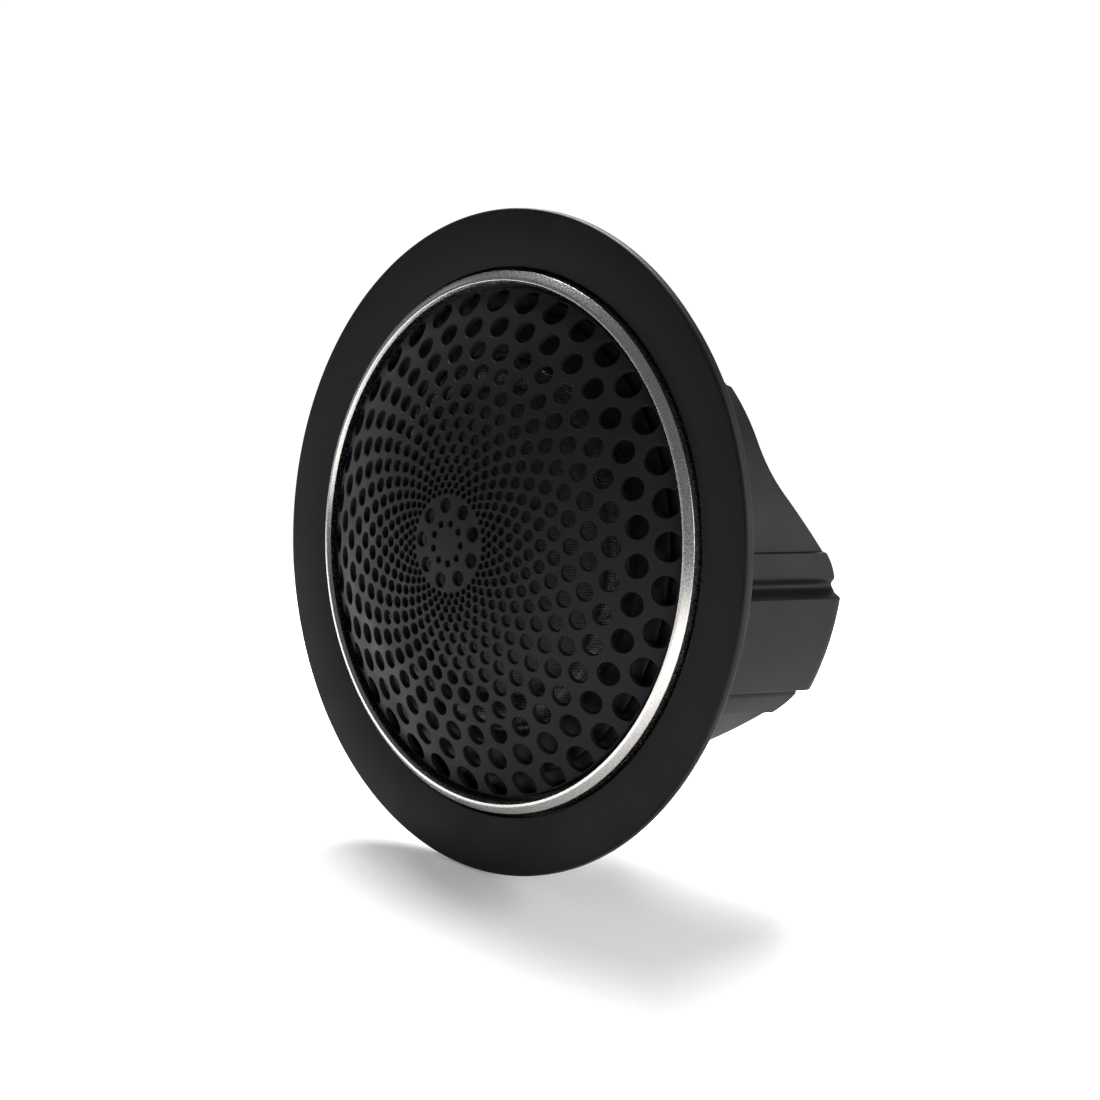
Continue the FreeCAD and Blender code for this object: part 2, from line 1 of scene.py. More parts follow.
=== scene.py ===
import math

import bpy
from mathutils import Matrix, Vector
from mathutils.geometry import delaunay_2d_cdt


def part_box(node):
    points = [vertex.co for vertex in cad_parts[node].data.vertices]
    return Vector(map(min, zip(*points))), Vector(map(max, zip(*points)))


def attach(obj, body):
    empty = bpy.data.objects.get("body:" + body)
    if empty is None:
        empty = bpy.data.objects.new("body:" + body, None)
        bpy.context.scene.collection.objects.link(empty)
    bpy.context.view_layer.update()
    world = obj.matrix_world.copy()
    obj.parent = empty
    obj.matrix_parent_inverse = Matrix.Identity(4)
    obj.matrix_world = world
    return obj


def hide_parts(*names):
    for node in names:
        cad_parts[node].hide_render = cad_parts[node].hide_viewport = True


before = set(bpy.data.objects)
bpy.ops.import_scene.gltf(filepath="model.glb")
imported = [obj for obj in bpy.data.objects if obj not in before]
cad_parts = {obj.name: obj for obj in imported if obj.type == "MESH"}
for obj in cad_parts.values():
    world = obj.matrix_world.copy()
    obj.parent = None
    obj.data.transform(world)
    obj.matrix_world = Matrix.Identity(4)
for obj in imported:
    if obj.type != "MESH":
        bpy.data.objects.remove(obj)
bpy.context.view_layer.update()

# The speaker's axis is Y: the grille faces -Y, the cup's legs point to +Y and +Z is up. Lengths in
# this file are millimetres up to the point where a mesh is made, and angles are degrees.
MM = 0.001


def cad_box(node):
    """A CAD node's low and high corners in millimetres."""
    low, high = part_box(node)
    return low / MM, high / MM


cup_low, cup_high = cad_box("mounting_cup")
dome_low, dome_high = cad_box("dome")
cover_low, cover_high = cad_box("rear_cover")

FLANGE_RADIUS = cup_high.z
FLANGE_FRONT = cup_low.y
LEG_DEPTH = cup_high.y
LEG_TURN = 24.3
GASKET_RADIUS = cad_box("flange_gasket")[1].x
SHELL_BACK = cad_box("body_shell")[1].y
PLATE_TOP = cad_box("face_plate")[0].y
SURROUND_BACK = cad_box("surround")[1].y


# Mesh tools

SHARP_ANGLE = math.radians(32)


def make_piece(name, points, faces, body, nodes=(), material=None, smooth=True):
    """Mesh object from millimetre points that rides on a CAD body and stands for CAD nodes."""
    mesh = bpy.data.meshes.new(name)
    mesh.from_pydata([(x * MM, y * MM, z * MM) for x, y, z in points], [], faces)
    if smooth:
        mesh.shade_smooth()
        mesh.set_sharp_from_angle(angle=SHARP_ANGLE)
    piece = bpy.data.objects.new(name, mesh)
    bpy.context.collection.objects.link(piece)
    if material:
        mesh.materials.append(material)
    if nodes:
        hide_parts(*nodes)
    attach(piece, body)
    return piece


def rounded(corners, steps=5):
    """Closed outline with its corners rounded. A corner is (radius, level) or (radius, level, round)."""
    outline = []
    for index, corner in enumerate(corners):
        here = Vector(corner[:2])
        if len(corner) < 3:
            outline.append(tuple(here))
            continue
        before = Vector(corners[index - 1][:2]) - here
        after = Vector(corners[(index + 1) % len(corners)][:2]) - here
        before.normalize()
        after.normalize()
        turn = before.angle(after)
        reach = corner[2] / math.tan(turn / 2)
        centre = here + (before + after).normalized() * corner[2] / math.sin(turn / 2)
        first = here + before * reach - centre
        last = here + after * reach - centre
        for step in range(steps + 1):
            spoke = first.slerp(last, step / steps).normalized()
            outline.append(tuple(centre + spoke * corner[2]))
    return outline


def arc(centre, radius, start, end, steps):
    """Points of a circular arc in the half section, with angles measured from outward to rearward."""
    points = []
    for step in range(steps + 1):
        angle = math.radians(start + (end - start) * step / steps)
        points.append((centre[0] + radius * math.cos(angle), centre[1] + radius * math.sin(angle)))
    return points


def swept(outline_at, turns):
    """Points and faces of a surface whose closed half section at each turn is outline_at(turn)."""
    points = []
    for turn in turns:
        angle = math.radians(turn)
        for radius, level in outline_at(turn):
            points.append((radius * math.cos(angle), level, radius * math.sin(angle)))
    count = len(points) // len(turns)
    faces = []
    for column in range(len(turns)):
        here = column * count
        there = (column + 1) % len(turns) * count
        for row in range(count):
            after = (row + 1) % count
            faces.append((here + row, here + after, there + after, there + row))
    return points, faces


def lathe(name, outline, body, nodes=(), material=None, segments=288):
    """Solid of revolution about the speaker's axis."""
    turns = [360 * index / segments for index in range(segments)]
    points, faces = swept(lambda turn: outline, turns)
    return make_piece(name, points, faces, body, nodes, material)


def turned_point(across, level, up, turn=LEG_TURN):
    """A point given along and square to the cup's legs, in the frame's own directions."""
    angle = math.radians(turn)
    return (
        across * math.cos(angle) + up * math.sin(angle),
        level,
        up * math.cos(angle) - across * math.sin(angle),
    )


# Material tools

def new_material(name):
    material = bpy.data.materials.new(name)
    material.use_nodes = True
    tree = material.node_tree
    return material, tree, tree.nodes["Principled BSDF"]


def place(tree):
    """Position in metres in the frame."""
    return tree.nodes.new("ShaderNodeTexCoord").outputs["Object"]


def maths(tree, operation, first, second=None):
    """Result of a Math node; each input is a socket or a number."""
    node = tree.nodes.new("ShaderNodeMath")
    node.operation = operation
    for index, item in enumerate((first, second)):
        if isinstance(item, (int, float)):
            node.inputs[index].default_value = item
        elif item is not None:
            tree.links.new(item, node.inputs[index])
    return node.outputs[0]


def noise(tree, vector, cell, detail=3, roughness=0.5):
    """Noise with features about cell metres across."""
    node = tree.nodes.new("ShaderNodeTexNoise")
    node.inputs["Scale"].default_value = 1 / cell
    node.inputs["Detail"].default_value = detail
    node.inputs["Roughness"].default_value = roughness
    tree.links.new(vector, node.inputs["Vector"])
    return node.outputs["Fac"]


def blend_colors(tree, factor, first, second, shader):
    """Base colour that goes from the first to the second linear colour with the factor."""
    node = tree.nodes.new("ShaderNodeMix")
    node.data_type = "RGBA"
    node.inputs["A"].default_value = (*first, 1)
    node.inputs["B"].default_value = (*second, 1)
    tree.links.new(factor, node.inputs["Factor"])
    tree.links.new(node.outputs["Result"], shader.inputs["Base Color"])


def spread(tree, factor, low, high, socket, from_low=0.3, from_high=0.7):
    """Maps a factor to a range and feeds it to a socket."""
    node = tree.nodes.new("ShaderNodeMapRange")
    node.inputs["From Min"].default_value = from_low
    node.inputs["From Max"].default_value = from_high
    node.inputs["To Min"].default_value = low
    node.inputs["To Max"].default_value = high
    tree.links.new(factor, node.inputs["Value"])
    if socket:
        tree.links.new(node.outputs["Result"], socket)
    return node.outputs["Result"]


def add_bump(tree, height, distance, shader, strength=1.0):
    """Relief of the given depth in metres."""
    node = tree.nodes.new("ShaderNodeBump")
    node.inputs["Distance"].default_value = distance
    node.inputs["Strength"].default_value = strength
    tree.links.new(height, node.inputs["Height"])
    tree.links.new(node.outputs["Normal"], shader.inputs["Normal"])


def polar_place(tree, across, around, along):
    """Vector for marks left by turning: radius, angle and level, each with its own scale."""
    split = tree.nodes.new("ShaderNodeSeparateXYZ")
    tree.links.new(place(tree), split.inputs[0])
    x, y, z = split.outputs
    squares = [maths(tree, "MULTIPLY", axis, axis) for axis in (x, z)]
    radius = maths(tree, "SQRT", maths(tree, "ADD", *squares))
    angle = maths(tree, "ARCTAN2", z, x)
    join = tree.nodes.new("ShaderNodeCombineXYZ")
    tree.links.new(maths(tree, "MULTIPLY", radius, across), join.inputs[0])
    tree.links.new(maths(tree, "MULTIPLY", angle, around), join.inputs[1])
    tree.links.new(maths(tree, "MULTIPLY", y, along), join.inputs[2])
    return join.outputs[0]


def grained(name, dark, light, rough, cell, depth, specular=0.5, metallic=0.0, patch=4 * MM):
    """Moulded, sprayed or cast surface: fine grain in relief, broad patches in tint and gloss."""
    material, tree, shader = new_material(name)
    position = place(tree)
    patches = noise(tree, position, patch, 4)
    grain = noise(tree, position, cell, 2)
    blend_colors(tree, patches, dark, light, shader)
    spread(tree, patches, rough[0], rough[1], shader.inputs["Roughness"])
    shader.inputs["Specular IOR Level"].default_value = specular
    shader.inputs["Metallic"].default_value = metallic
    add_bump(tree, grain, depth, shader)
    return material


SMEARS_PER_METRE = 400
SMEARS_PER_RADIAN = 6


def turned_metal(name, dark, light, rough, groove, depth, ticks=3):
    """Lathe-turned metal: rings in relief, broken about ticks times a radian, and smears in tint."""
    material, tree, shader = new_material(name)
    rings = noise(tree, polar_place(tree, 1 / groove, ticks, 1 / groove), 1, 2)
    smear_place = polar_place(tree, SMEARS_PER_METRE, SMEARS_PER_RADIAN, SMEARS_PER_METRE)
    smears = noise(tree, smear_place, 1, 3)
    blend_colors(tree, smears, dark, light, shader)
    spread(tree, rings, rough[0], rough[1], shader.inputs["Roughness"])
    shader.inputs["Metallic"].default_value = 1.0
    add_bump(tree, rings, depth, shader)
    return material


WEAVE_PATCH = 2.5 * MM
WEAVE_OFFSET = 0.35


def woven(name, dark, light, rough, pitch, depth, sheen):
    """Plain weave seen along the axis: threads along X and Z pass over and under each other."""
    material, tree, shader = new_material(name)
    split = tree.nodes.new("ShaderNodeSeparateXYZ")
    tree.links.new(place(tree), split.inputs[0])
    turn = math.pi / pitch
    warp = maths(tree, "SINE", maths(tree, "MULTIPLY", split.outputs[0], turn))
    weft = maths(tree, "SINE", maths(tree, "MULTIPLY", split.outputs[2], turn))
    crossing = maths(tree, "MULTIPLY", warp, weft)
    ridges = maths(tree, "ABSOLUTE", crossing)
    wear = noise(tree, place(tree), WEAVE_PATCH, 3)
    height = maths(tree, "ADD", ridges, maths(tree, "MULTIPLY", crossing, WEAVE_OFFSET))
    # Painted shade and highlight with wear: the colour is dark between the threads and light on their
    # tops, as the relief would be lit, and dimmer in patches of wear.
    painted_shade_and_wear = maths(tree, "MULTIPLY", ridges, spread(tree, wear, 0.5, 1.0, None))
    blend_colors(tree, painted_shade_and_wear, dark, light, shader)
    spread(tree, wear, rough[0], rough[1], shader.inputs["Roughness"])
    shader.inputs["Sheen Weight"].default_value = sheen
    add_bump(tree, height, depth, shader)
    return material


WAVE_SCALE = 0.314
STRAND_SMEAR = 0.6 * MM


def stranded(name, dark, light, rough, pitch, depth):
    """Wound wire or braid: ridges that follow each other along the axis, a pitch apart."""
    material, tree, shader = new_material(name)
    wave = tree.nodes.new("ShaderNodeTexWave")
    wave.bands_direction = "Y"
    wave.inputs["Scale"].default_value = WAVE_SCALE / pitch
    wave.inputs["Distortion"].default_value = 0.4
    tree.links.new(place(tree), wave.inputs["Vector"])
    # Painted shade and highlight: the colour follows the relief's bands, dark in the grooves between
    # turns and light on their tops.
    blend_colors(tree, wave.outputs["Fac"], dark, light, shader)
    smears = noise(tree, place(tree), STRAND_SMEAR, 3)
    spread(tree, smears, rough[0], rough[1], shader.inputs["Roughness"])
    shader.inputs["Metallic"].default_value = 1.0
    add_bump(tree, wave.outputs["Fac"], depth, shader)
    return material


CUP_PLASTIC = grained(
    "cup_plastic", (0.0057, 0.0052, 0.0063), (0.0080, 0.0074, 0.0087),
    (0.42, 0.54), 0.11 * MM, 0.004 * MM, 0.12,
)
GASKET_FOAM = grained(
    "gasket_foam", (0.007, 0.007, 0.0075), (0.011, 0.011, 0.0115),
    (0.55, 0.75), 0.18 * MM, 0.01 * MM, 0.2,
)
SHELL_PLASTIC = grained(
    "shell_plastic", (0.006, 0.006, 0.0065), (0.009, 0.009, 0.0095),
    (0.5, 0.65), 0.12 * MM, 0.004 * MM, 0.2,
)
PLATE_PLASTIC = grained(
    "plate_plastic", (0.003, 0.003, 0.0033), (0.005, 0.005, 0.0053),
    (0.45, 0.6), 0.15 * MM, 0.005 * MM, 0.2,
)
GRILLE_COAT = grained(
    "grille_coat", (0.0095, 0.0085, 0.0105), (0.0145, 0.013, 0.0155),
    (0.48, 0.62), 0.14 * MM, 0.007 * MM, 0.12,
)
FELT = grained("felt", (0.16, 0.155, 0.15), (0.26, 0.25, 0.24), (0.9, 1.0), 0.12 * MM, 0.06 * MM, 0.1)
FOAM = grained("foam", (0.03, 0.03, 0.033), (0.07, 0.07, 0.075), (0.85, 1.0), 0.35 * MM, 0.15 * MM, 0.1)
BOARD = grained(
    "board_laminate", (0.10, 0.055, 0.022), (0.15, 0.085, 0.035),
    (0.4, 0.55), 0.3 * MM, 0.004 * MM,
)
RED_INSULATION = grained(
    "wire_red", (0.38, 0.02, 0.02), (0.5, 0.035, 0.03),
    (0.25, 0.4), 0.3 * MM, 0.003 * MM,
)
BLACK_INSULATION = grained(
    "wire_black", (0.012, 0.012, 0.013), (0.02, 0.02, 0.02),
    (0.25, 0.4), 0.3 * MM, 0.003 * MM,
)
TIN = grained(
    "terminal_tin", (0.50, 0.49, 0.44), (0.66, 0.64, 0.58), (0.22, 0.42), 0.25 * MM, 0.002 * MM, 0.5, 1.0
)
MAGNET_PLATING = grained(
    "magnet_plating", (0.52, 0.52, 0.53), (0.62, 0.62, 0.64), (0.15, 0.3), 0.5 * MM, 0.002 * MM, 0.5, 1.0
)
FORMER_FOIL = grained(
    "former_foil", (0.6, 0.6, 0.61), (0.72, 0.72, 0.72), (0.2, 0.35), 0.4 * MM, 0.003 * MM, 0.5, 1.0
)
MOTOR_STEEL = turned_metal(
    "motor_steel", (0.30, 0.31, 0.32), (0.45, 0.46, 0.48),
    (0.3, 0.48), 0.12 * MM, 0.003 * MM,
)
SCREW_STEEL = turned_metal(
    "screw_steel", (0.40, 0.40, 0.41), (0.56, 0.56, 0.57),
    (0.25, 0.4), 0.1 * MM, 0.003 * MM,
)
BEZEL_METAL = turned_metal(
    "bezel_metal", (0.56, 0.54, 0.51), (0.70, 0.68, 0.65), (0.22, 0.36), 0.12 * MM, 0.003 * MM, ticks=120
)
# The dark and light colours of the two textiles are painted shade between the threads and painted
# highlight on their tops.
DOME_TEXTILE = woven(
    "dome_textile", (0.006, 0.006, 0.0065), (0.045, 0.043, 0.046),
    (0.42, 0.6), 0.24 * MM, 0.05 * MM, 0.15,
)
SURROUND_TEXTILE = woven(
    "surround_textile", (0.012, 0.012, 0.013), (0.05, 0.05, 0.052),
    (0.16, 0.3), 0.24 * MM, 0.02 * MM, 0.0,
)
# The dark and light colours of the copper and the braid are painted shade in the grooves and painted
# highlight on the turns.
COIL_COPPER = stranded(
    "coil_copper", (0.36, 0.13, 0.06), (0.72, 0.32, 0.17),
    (0.2, 0.4), 0.14 * MM, 0.03 * MM,
)
TINSEL = stranded(
    "tinsel_braid", (0.34, 0.15, 0.08), (0.68, 0.37, 0.22),
    (0.25, 0.45), 0.09 * MM, 0.02 * MM,
)


# Mounting cup

BORE = 19.1
HUB_RADIUS = 24.0
RECESS_RADIUS = 23.9
RECESS_FLOOR = -0.6
RIM_BACK = -0.8
WALL_RADIUS = 20.3
SHOULDER_RISE = 0.4
SHOULDER_HALF = 22.0
LOBE_RADIUS = 22.0
LOBE_HALF = 12.3
LOBE_DEPTH = 18.4
GROOVE_HALF = 14.0
GROOVE_REACH = 1.9
GROOVE_SINK = 0.45
LEG_HALF_WIDTH = 6.1
LOW_DEPTH = 11.1
NOTCH_DEPTH = 7.3
NOTCH_START = 18.5
NOTCH_END = 19.0
RAMP_SOFTNESS = 1.8
EDGE_ROUND = 0.3
SHOULDER_SOFT = 0.25
LOBE_SOFT = 0.9
LOBE_ROUND = 0.7
CORNER = 0.12
FLANGE_ROUND = 0.28


def step_up(number, start, end):
    """0 before start, 1 after end, smooth between; end may be below start."""
    share = min(1, max(0, (number - start) / (end - start)))
    return share * share * (3 - 2 * share)


def soft_least(first, second, softness):
    """The lesser of two numbers, rounded where they meet."""
    nearness = max(softness - abs(first - second), 0) / softness
    return min(first, second) - nearness * nearness * softness / 4


def soft_most(first, second, softness):
    return -soft_least(-first, -second, softness)


def wall_end(aside):
    """How far back the wall reaches, at a distance aside from the plane through both legs."""
    ramp = LEG_HALF_WIDTH + LEG_DEPTH - aside
    level = soft_most(soft_least(ramp, LEG_DEPTH, RAMP_SOFTNESS), LOW_DEPTH, RAMP_SOFTNESS)
    return level - (LOW_DEPTH - NOTCH_DEPTH) * step_up(aside, NOTCH_START, NOTCH_END)


def off_leg(turn):
    """Angle from the nearer leg's middle."""
    off = (turn + LEG_TURN) % 180
    return min(off, 180 - off)


def wall_outside(turn, level):
    """Outer radius of the wall, with its shoulders, grooves and lobes."""
    off = off_leg(turn)
    shoulder = step_up(off, SHOULDER_HALF + SHOULDER_SOFT, SHOULDER_HALF - SHOULDER_SOFT)
    radius = WALL_RADIUS + SHOULDER_RISE * shoulder
    groove = max(0, 1 - ((off - GROOVE_HALF) / GROOVE_REACH) ** 2) ** 2
    radius -= GROOVE_SINK * groove
    past = max(0, level - (LOBE_DEPTH - LOBE_ROUND)) / LOBE_ROUND
    drop = LOBE_ROUND * (1 - math.sqrt(max(0, 1 - min(past, 1) ** 2)))
    lobe_rise = LOBE_RADIUS - WALL_RADIUS - SHOULDER_RISE
    lobe = lobe_rise * step_up(off, LOBE_HALF + LOBE_SOFT, LOBE_HALF - LOBE_SOFT)
    if past >= 1:
        return radius
    return radius + max(0, lobe - drop)


COARSE_TURN = 0.5
FINE_TURN = 0.1
FINE_STRETCHES = ((LOBE_HALF, 1.5), (SHOULDER_HALF, 0.4))


def cup_turns():
    """Columns of the cup's mesh, closer together at the edges that run along the axis."""
    steps = [index * COARSE_TURN for index in range(round(90 / COARSE_TURN) + 1)]
    for middle, reach in FINE_STRETCHES:
        count = round(2 * reach / FINE_TURN) + 1
        steps += [middle - reach + index * FINE_TURN for index in range(count)]
    steps = sorted({round(step, 3) for step in steps})
    turns = []
    for leg in (0, 180):
        turns += [leg + step for step in steps] + [leg - step for step in steps]
    return sorted({round((turn - LEG_TURN) % 360, 3) for turn in turns})


FRONT_OUTLINE = rounded([
    (BORE, RECESS_FLOOR, CORNER),
    (RECESS_RADIUS, RECESS_FLOOR),
    (RECESS_RADIUS, FLANGE_FRONT, CORNER),
    (FLANGE_RADIUS, FLANGE_FRONT, FLANGE_ROUND),
    (FLANGE_RADIUS, RIM_BACK, CORNER),
    (HUB_RADIUS, RIM_BACK),
    (HUB_RADIUS, 0),
    (BORE, 0),
])[:-1]
WALL_LEVELS = 22
LEVEL_CROWDING = 1.6
END_STEPS = 4


def wall_levels(end):
    """Levels along the outside of the wall, closer together near its end."""
    reach = end - EDGE_ROUND
    return [reach * (1 - (1 - index / WALL_LEVELS) ** LEVEL_CROWDING) for index in range(WALL_LEVELS + 1)]


def cup_outline(turn):
    """Closed half section of flange and wall at one turn about the axis."""
    sine = abs(math.sin(math.radians(off_leg(turn))))
    end = wall_end(WALL_RADIUS * sine)
    outline = list(FRONT_OUTLINE)
    for level in wall_levels(end):
        outline.append((wall_outside(turn, level), level))
    outside = outline[-1][0]
    for step in range(1, END_STEPS + 1):
        angle = math.radians(90 * step / END_STEPS)
        radius = outside - EDGE_ROUND * (1 - math.cos(angle))
        outline.append((radius, end - EDGE_ROUND * (1 - math.sin(angle))))
    inner = BORE + EDGE_ROUND
    for step in range(1, END_STEPS + 1):
        radius = outside - EDGE_ROUND + (inner - outside + EDGE_ROUND) * step / END_STEPS
        outline.append((radius, wall_end(radius * sine)))
    for step in range(1, END_STEPS + 1):
        angle = math.radians(90 * step / END_STEPS)
        radius = inner - EDGE_ROUND * math.sin(angle)
        outline.append((radius, wall_end(radius * sine) - EDGE_ROUND * (1 - math.cos(angle))))
    return outline


BRIDGE_THICKNESS = 2.0
BRIDGE_FRONT = LEG_DEPTH - BRIDGE_THICKNESS
BRIDGE_REACH = BORE + 0.3
BRIDGE_HOLE = 2.2
BRIDGE_SEGMENTS = 144
HOLE_ROUND = 0.2
HOLE_ROUND_MIDDLE = 0.06
HOLE_FRONT_BEVEL = 0.15
BRIDGE_ROUND_START = 0.25
BRIDGE_ROUND_MIDDLE = (0.02, 0.1)
BRIDGE_ROUND_END = 0.35
BRIDGE_FRONT_BEVEL = (0.2, 0.1)


def bridge_edge(turn, level):
    """Distance from the axis to the bridge's edge; its sides slope like the cup's ramps."""
    aside = abs(math.sin(math.radians(turn)))
    half = LEG_HALF_WIDTH + LEG_DEPTH - level
    return BRIDGE_REACH if aside * BRIDGE_REACH <= half else half / aside


def bridge_outline(turn):
    """Closed section of the bridge from its hole to its edge, in a direction from its middle."""
    back = bridge_edge(turn, LEG_DEPTH)
    side = LEG_DEPTH - BRIDGE_ROUND_END
    front = BRIDGE_FRONT + BRIDGE_FRONT_BEVEL[1]
    return [
        (BRIDGE_HOLE, BRIDGE_FRONT + HOLE_FRONT_BEVEL),
        (BRIDGE_HOLE, LEG_DEPTH - HOLE_ROUND),
        (BRIDGE_HOLE + HOLE_ROUND_MIDDLE, LEG_DEPTH - HOLE_ROUND_MIDDLE),
        (BRIDGE_HOLE + HOLE_ROUND, LEG_DEPTH),
        (back - BRIDGE_ROUND_START, LEG_DEPTH),
        (back - BRIDGE_ROUND_MIDDLE[0], LEG_DEPTH - BRIDGE_ROUND_MIDDLE[1]),
        (bridge_edge(turn, side), side),
        (bridge_edge(turn, front), front),
        (bridge_edge(turn, BRIDGE_FRONT) - BRIDGE_FRONT_BEVEL[0], BRIDGE_FRONT),
        (BRIDGE_HOLE + HOLE_FRONT_BEVEL, BRIDGE_FRONT),
    ]


def make_mounting_cup():
    points, faces = swept(cup_outline, cup_turns())
    turns = [360 * index / BRIDGE_SEGMENTS for index in range(BRIDGE_SEGMENTS)]
    bridge_points, bridge_faces = swept(bridge_outline, turns)
    start = len(points)
    points += [turned_point(x, y, z) for x, y, z in bridge_points]
    faces += [tuple(start + corner for corner in face) for face in bridge_faces]
    make_piece("mounting_cup_shape", points, faces, "cup", ["mounting_cup"], CUP_PLASTIC)


GASKET_INNER = GASKET_RADIUS - 4.3
GASKET_BACK = -0.02
GASKET_ROUND = 0.22


def make_flange_gasket():
    lathe(
        "flange_gasket_ring",
        rounded([
            (GASKET_INNER, RIM_BACK),
            (GASKET_RADIUS, RIM_BACK, 0.1),
            (GASKET_RADIUS, GASKET_BACK, GASKET_ROUND),
            (GASKET_INNER, GASKET_BACK, 0.15),
        ]),
        "cup", ["flange_gasket"], GASKET_FOAM,
    )


# Front of the insert

LIP_TOP = -1.15
BEZEL_OUTER = 23.57
BEZEL_WALL_TOP = -2.12
BEZEL_SHOULDER = 22.98
BEZEL_SHOULDER_TOP = -2.64
BEZEL_CREST = 22.72
BEZEL_TOP = -2.68
BEZEL_INNER = 22.50
BEZEL_INNER_TOP = -2.38


def make_bezel_ring():
    """Bright ring with a slope outside its crest and a bevel inside it."""
    lathe(
        "bezel_ring_turned",
        rounded([
            (BEZEL_OUTER, LIP_TOP),
            (BEZEL_OUTER, BEZEL_WALL_TOP, 0.1),
            (BEZEL_SHOULDER, BEZEL_SHOULDER_TOP, 0.2),
            (BEZEL_CREST, BEZEL_TOP, 0.06),
            (BEZEL_INNER, BEZEL_INNER_TOP, 0.05),
            (BEZEL_INNER, LIP_TOP),
        ]),
        "insert", ["bezel_ring"], BEZEL_METAL, segments=360,
    )


GRILLE_SPHERE = 40.8
GRILLE_RADIUS = 22.1
GRILLE_RIM = -2.0
GRILLE_CENTRE = math.sqrt(GRILLE_SPHERE**2 - GRILLE_RADIUS**2) + GRILLE_RIM
GRILLE_SHEET = 0.5
GRILLE_EDGE = 21.93
SKIRT_RADIUS = 22.08
HOLE_LIP = 0.08
FEWEST_HALF_POINTS = 6
HALF_POINTS_PER_MM = 8
RIM_POINTS = 288
SHOULDER_INSET = 0.02
SHOULDER_DROP = 0.13
SKIRT_DROP = 0.24
SKIRT_INNER_DROP = 0.3
SKIRT_SLACK = 0.01
CDT_TOLERANCE = 1e-7
ROWS = 14
ROW_HOLES = 36
ROW_RADIUS = 21.08
ROW_RATIO = 0.888
ROW_PHASE = -0.4
OUTER_SHARE = 0.12
HOLE_SHARE = 0.111
RINGS_AT_CROWN = ((9, 3.28, 0.65, 14.0), (9, 1.75, 0.3, 34.0))


def grille_holes():
    """Each hole as (distance from the axis, direction, hole radius)."""
    holes = []
    for row in range(ROWS):
        distance = ROW_RADIUS * ROW_RATIO**row
        share = HOLE_SHARE if row else OUTER_SHARE
        phase = ROW_PHASE + 180 / ROW_HOLES * (row % 2)
        for index in range(ROW_HOLES):
            holes.append((distance, phase + 360 * index / ROW_HOLES, share * distance / 2))
    for count, distance, radius, phase in RINGS_AT_CROWN:
        holes += [(distance, phase + 360 * index / count, radius) for index in range(count)]
    return holes


def outward_at(distance, turn):
    """Unit vector out of the grille's surface at a distance from the axis."""
    tilt = math.asin(distance / GRILLE_SPHERE)
    angle = math.radians(turn)
    return Vector((math.sin(tilt) * math.cos(angle), -math.cos(tilt), math.sin(tilt) * math.sin(angle)))


def on_grille(direction, sink=0.0):
    """The point of the grille's surface in a direction from the sphere's centre."""
    return Vector((0, GRILLE_CENTRE, 0)) + direction * (GRILLE_SPHERE - sink)


def hole_ring(distance, turn, radius, lip=0.0):
    """Directions to the points of a hole's edge, and the hole's own inward vectors there."""
    axis = outward_at(distance, turn)
    across = axis.cross(Vector((0, 1, 0))).normalized()
    up = axis.cross(across)
    count = 2 * round(FEWEST_HALF_POINTS + HALF_POINTS_PER_MM * radius)
    tilt = (radius + lip) / GRILLE_SPHERE
    ring = []
    for index in range(count):
        angle = 2 * math.pi * index / count
        spoke = across * math.cos(angle) + up * math.sin(angle)
        ring.append((axis * math.cos(tilt) + spoke * math.sin(tilt), -spoke))
    return ring


def add_sheet_face(points, normals, faces, rings, sink, side):
    """One face of the perforated sheet: a flat triangulation, set on the sphere."""
    flat = []
    outlines = []
    for ring in rings:
        outlines.append(list(range(len(flat), len(flat) + len(ring))))
        flat += [Vector((direction.x, direction.z)) for direction in ring]
    edges = [(outline[i - 1], outline[i]) for outline in outlines for i in range(len(outline))]
    found = delaunay_2d_cdt(flat, edges, outlines, 1, CDT_TOLERANCE, True)
    triangles = [face for face, inside in zip(found[2], found[5]) if list(inside) == [0]]
    start = len(points)
    for spot in found[0]:
        direction = Vector((spot.x, -math.sqrt(1 - spot.length_squared), spot.y))
        points.append(on_grille(direction, sink))
        normals.append(direction * side)
    for face in triangles:
        a, b, c = (points[start + corner] for corner in face)
        outward = (b - a).cross(c - a).dot(normals[start + face[0]]) > 0
        order = face if outward else face[::-1]
        faces.append(tuple(start + corner for corner in order))


def off_axis(point):
    return math.hypot(point[0], point[2])


def add_band(points, normals, faces, first, second):
    """Strip between two rings of (point, normal), left out where it would pass the skirt."""
    start = len(points)
    count = len(first)
    for point, normal in first + second:
        points.append(point)
        normals.append(normal.normalized())
    for index in range(count):
        after = (index + 1) % count
        corners = (index, after, count + after, count + index)
        if max(off_axis(points[start + corner]) for corner in corners) > SKIRT_RADIUS + SKIRT_SLACK:
            continue
        a, b, c = (points[start + corner] for corner in corners[:3])
        outward = (b - a).cross(c - a).dot(normals[start + index]) > 0
        faces.append(tuple(start + corner for corner in (corners if outward else corners[::-1])))


def circle_of(radius, level, tilt):
    """Ring of points about the axis with normals tilted from outward towards the front."""
    forward = Vector((0, -math.sin(math.radians(tilt)), 0))
    ring = []
    for index in range(RIM_POINTS):
        angle = 2 * math.pi * index / RIM_POINTS
        outward = Vector((math.cos(angle), 0, math.sin(angle)))
        normal = outward * math.cos(math.radians(tilt)) + forward
        ring.append((outward * radius + Vector((0, level, 0)), normal))
    return ring


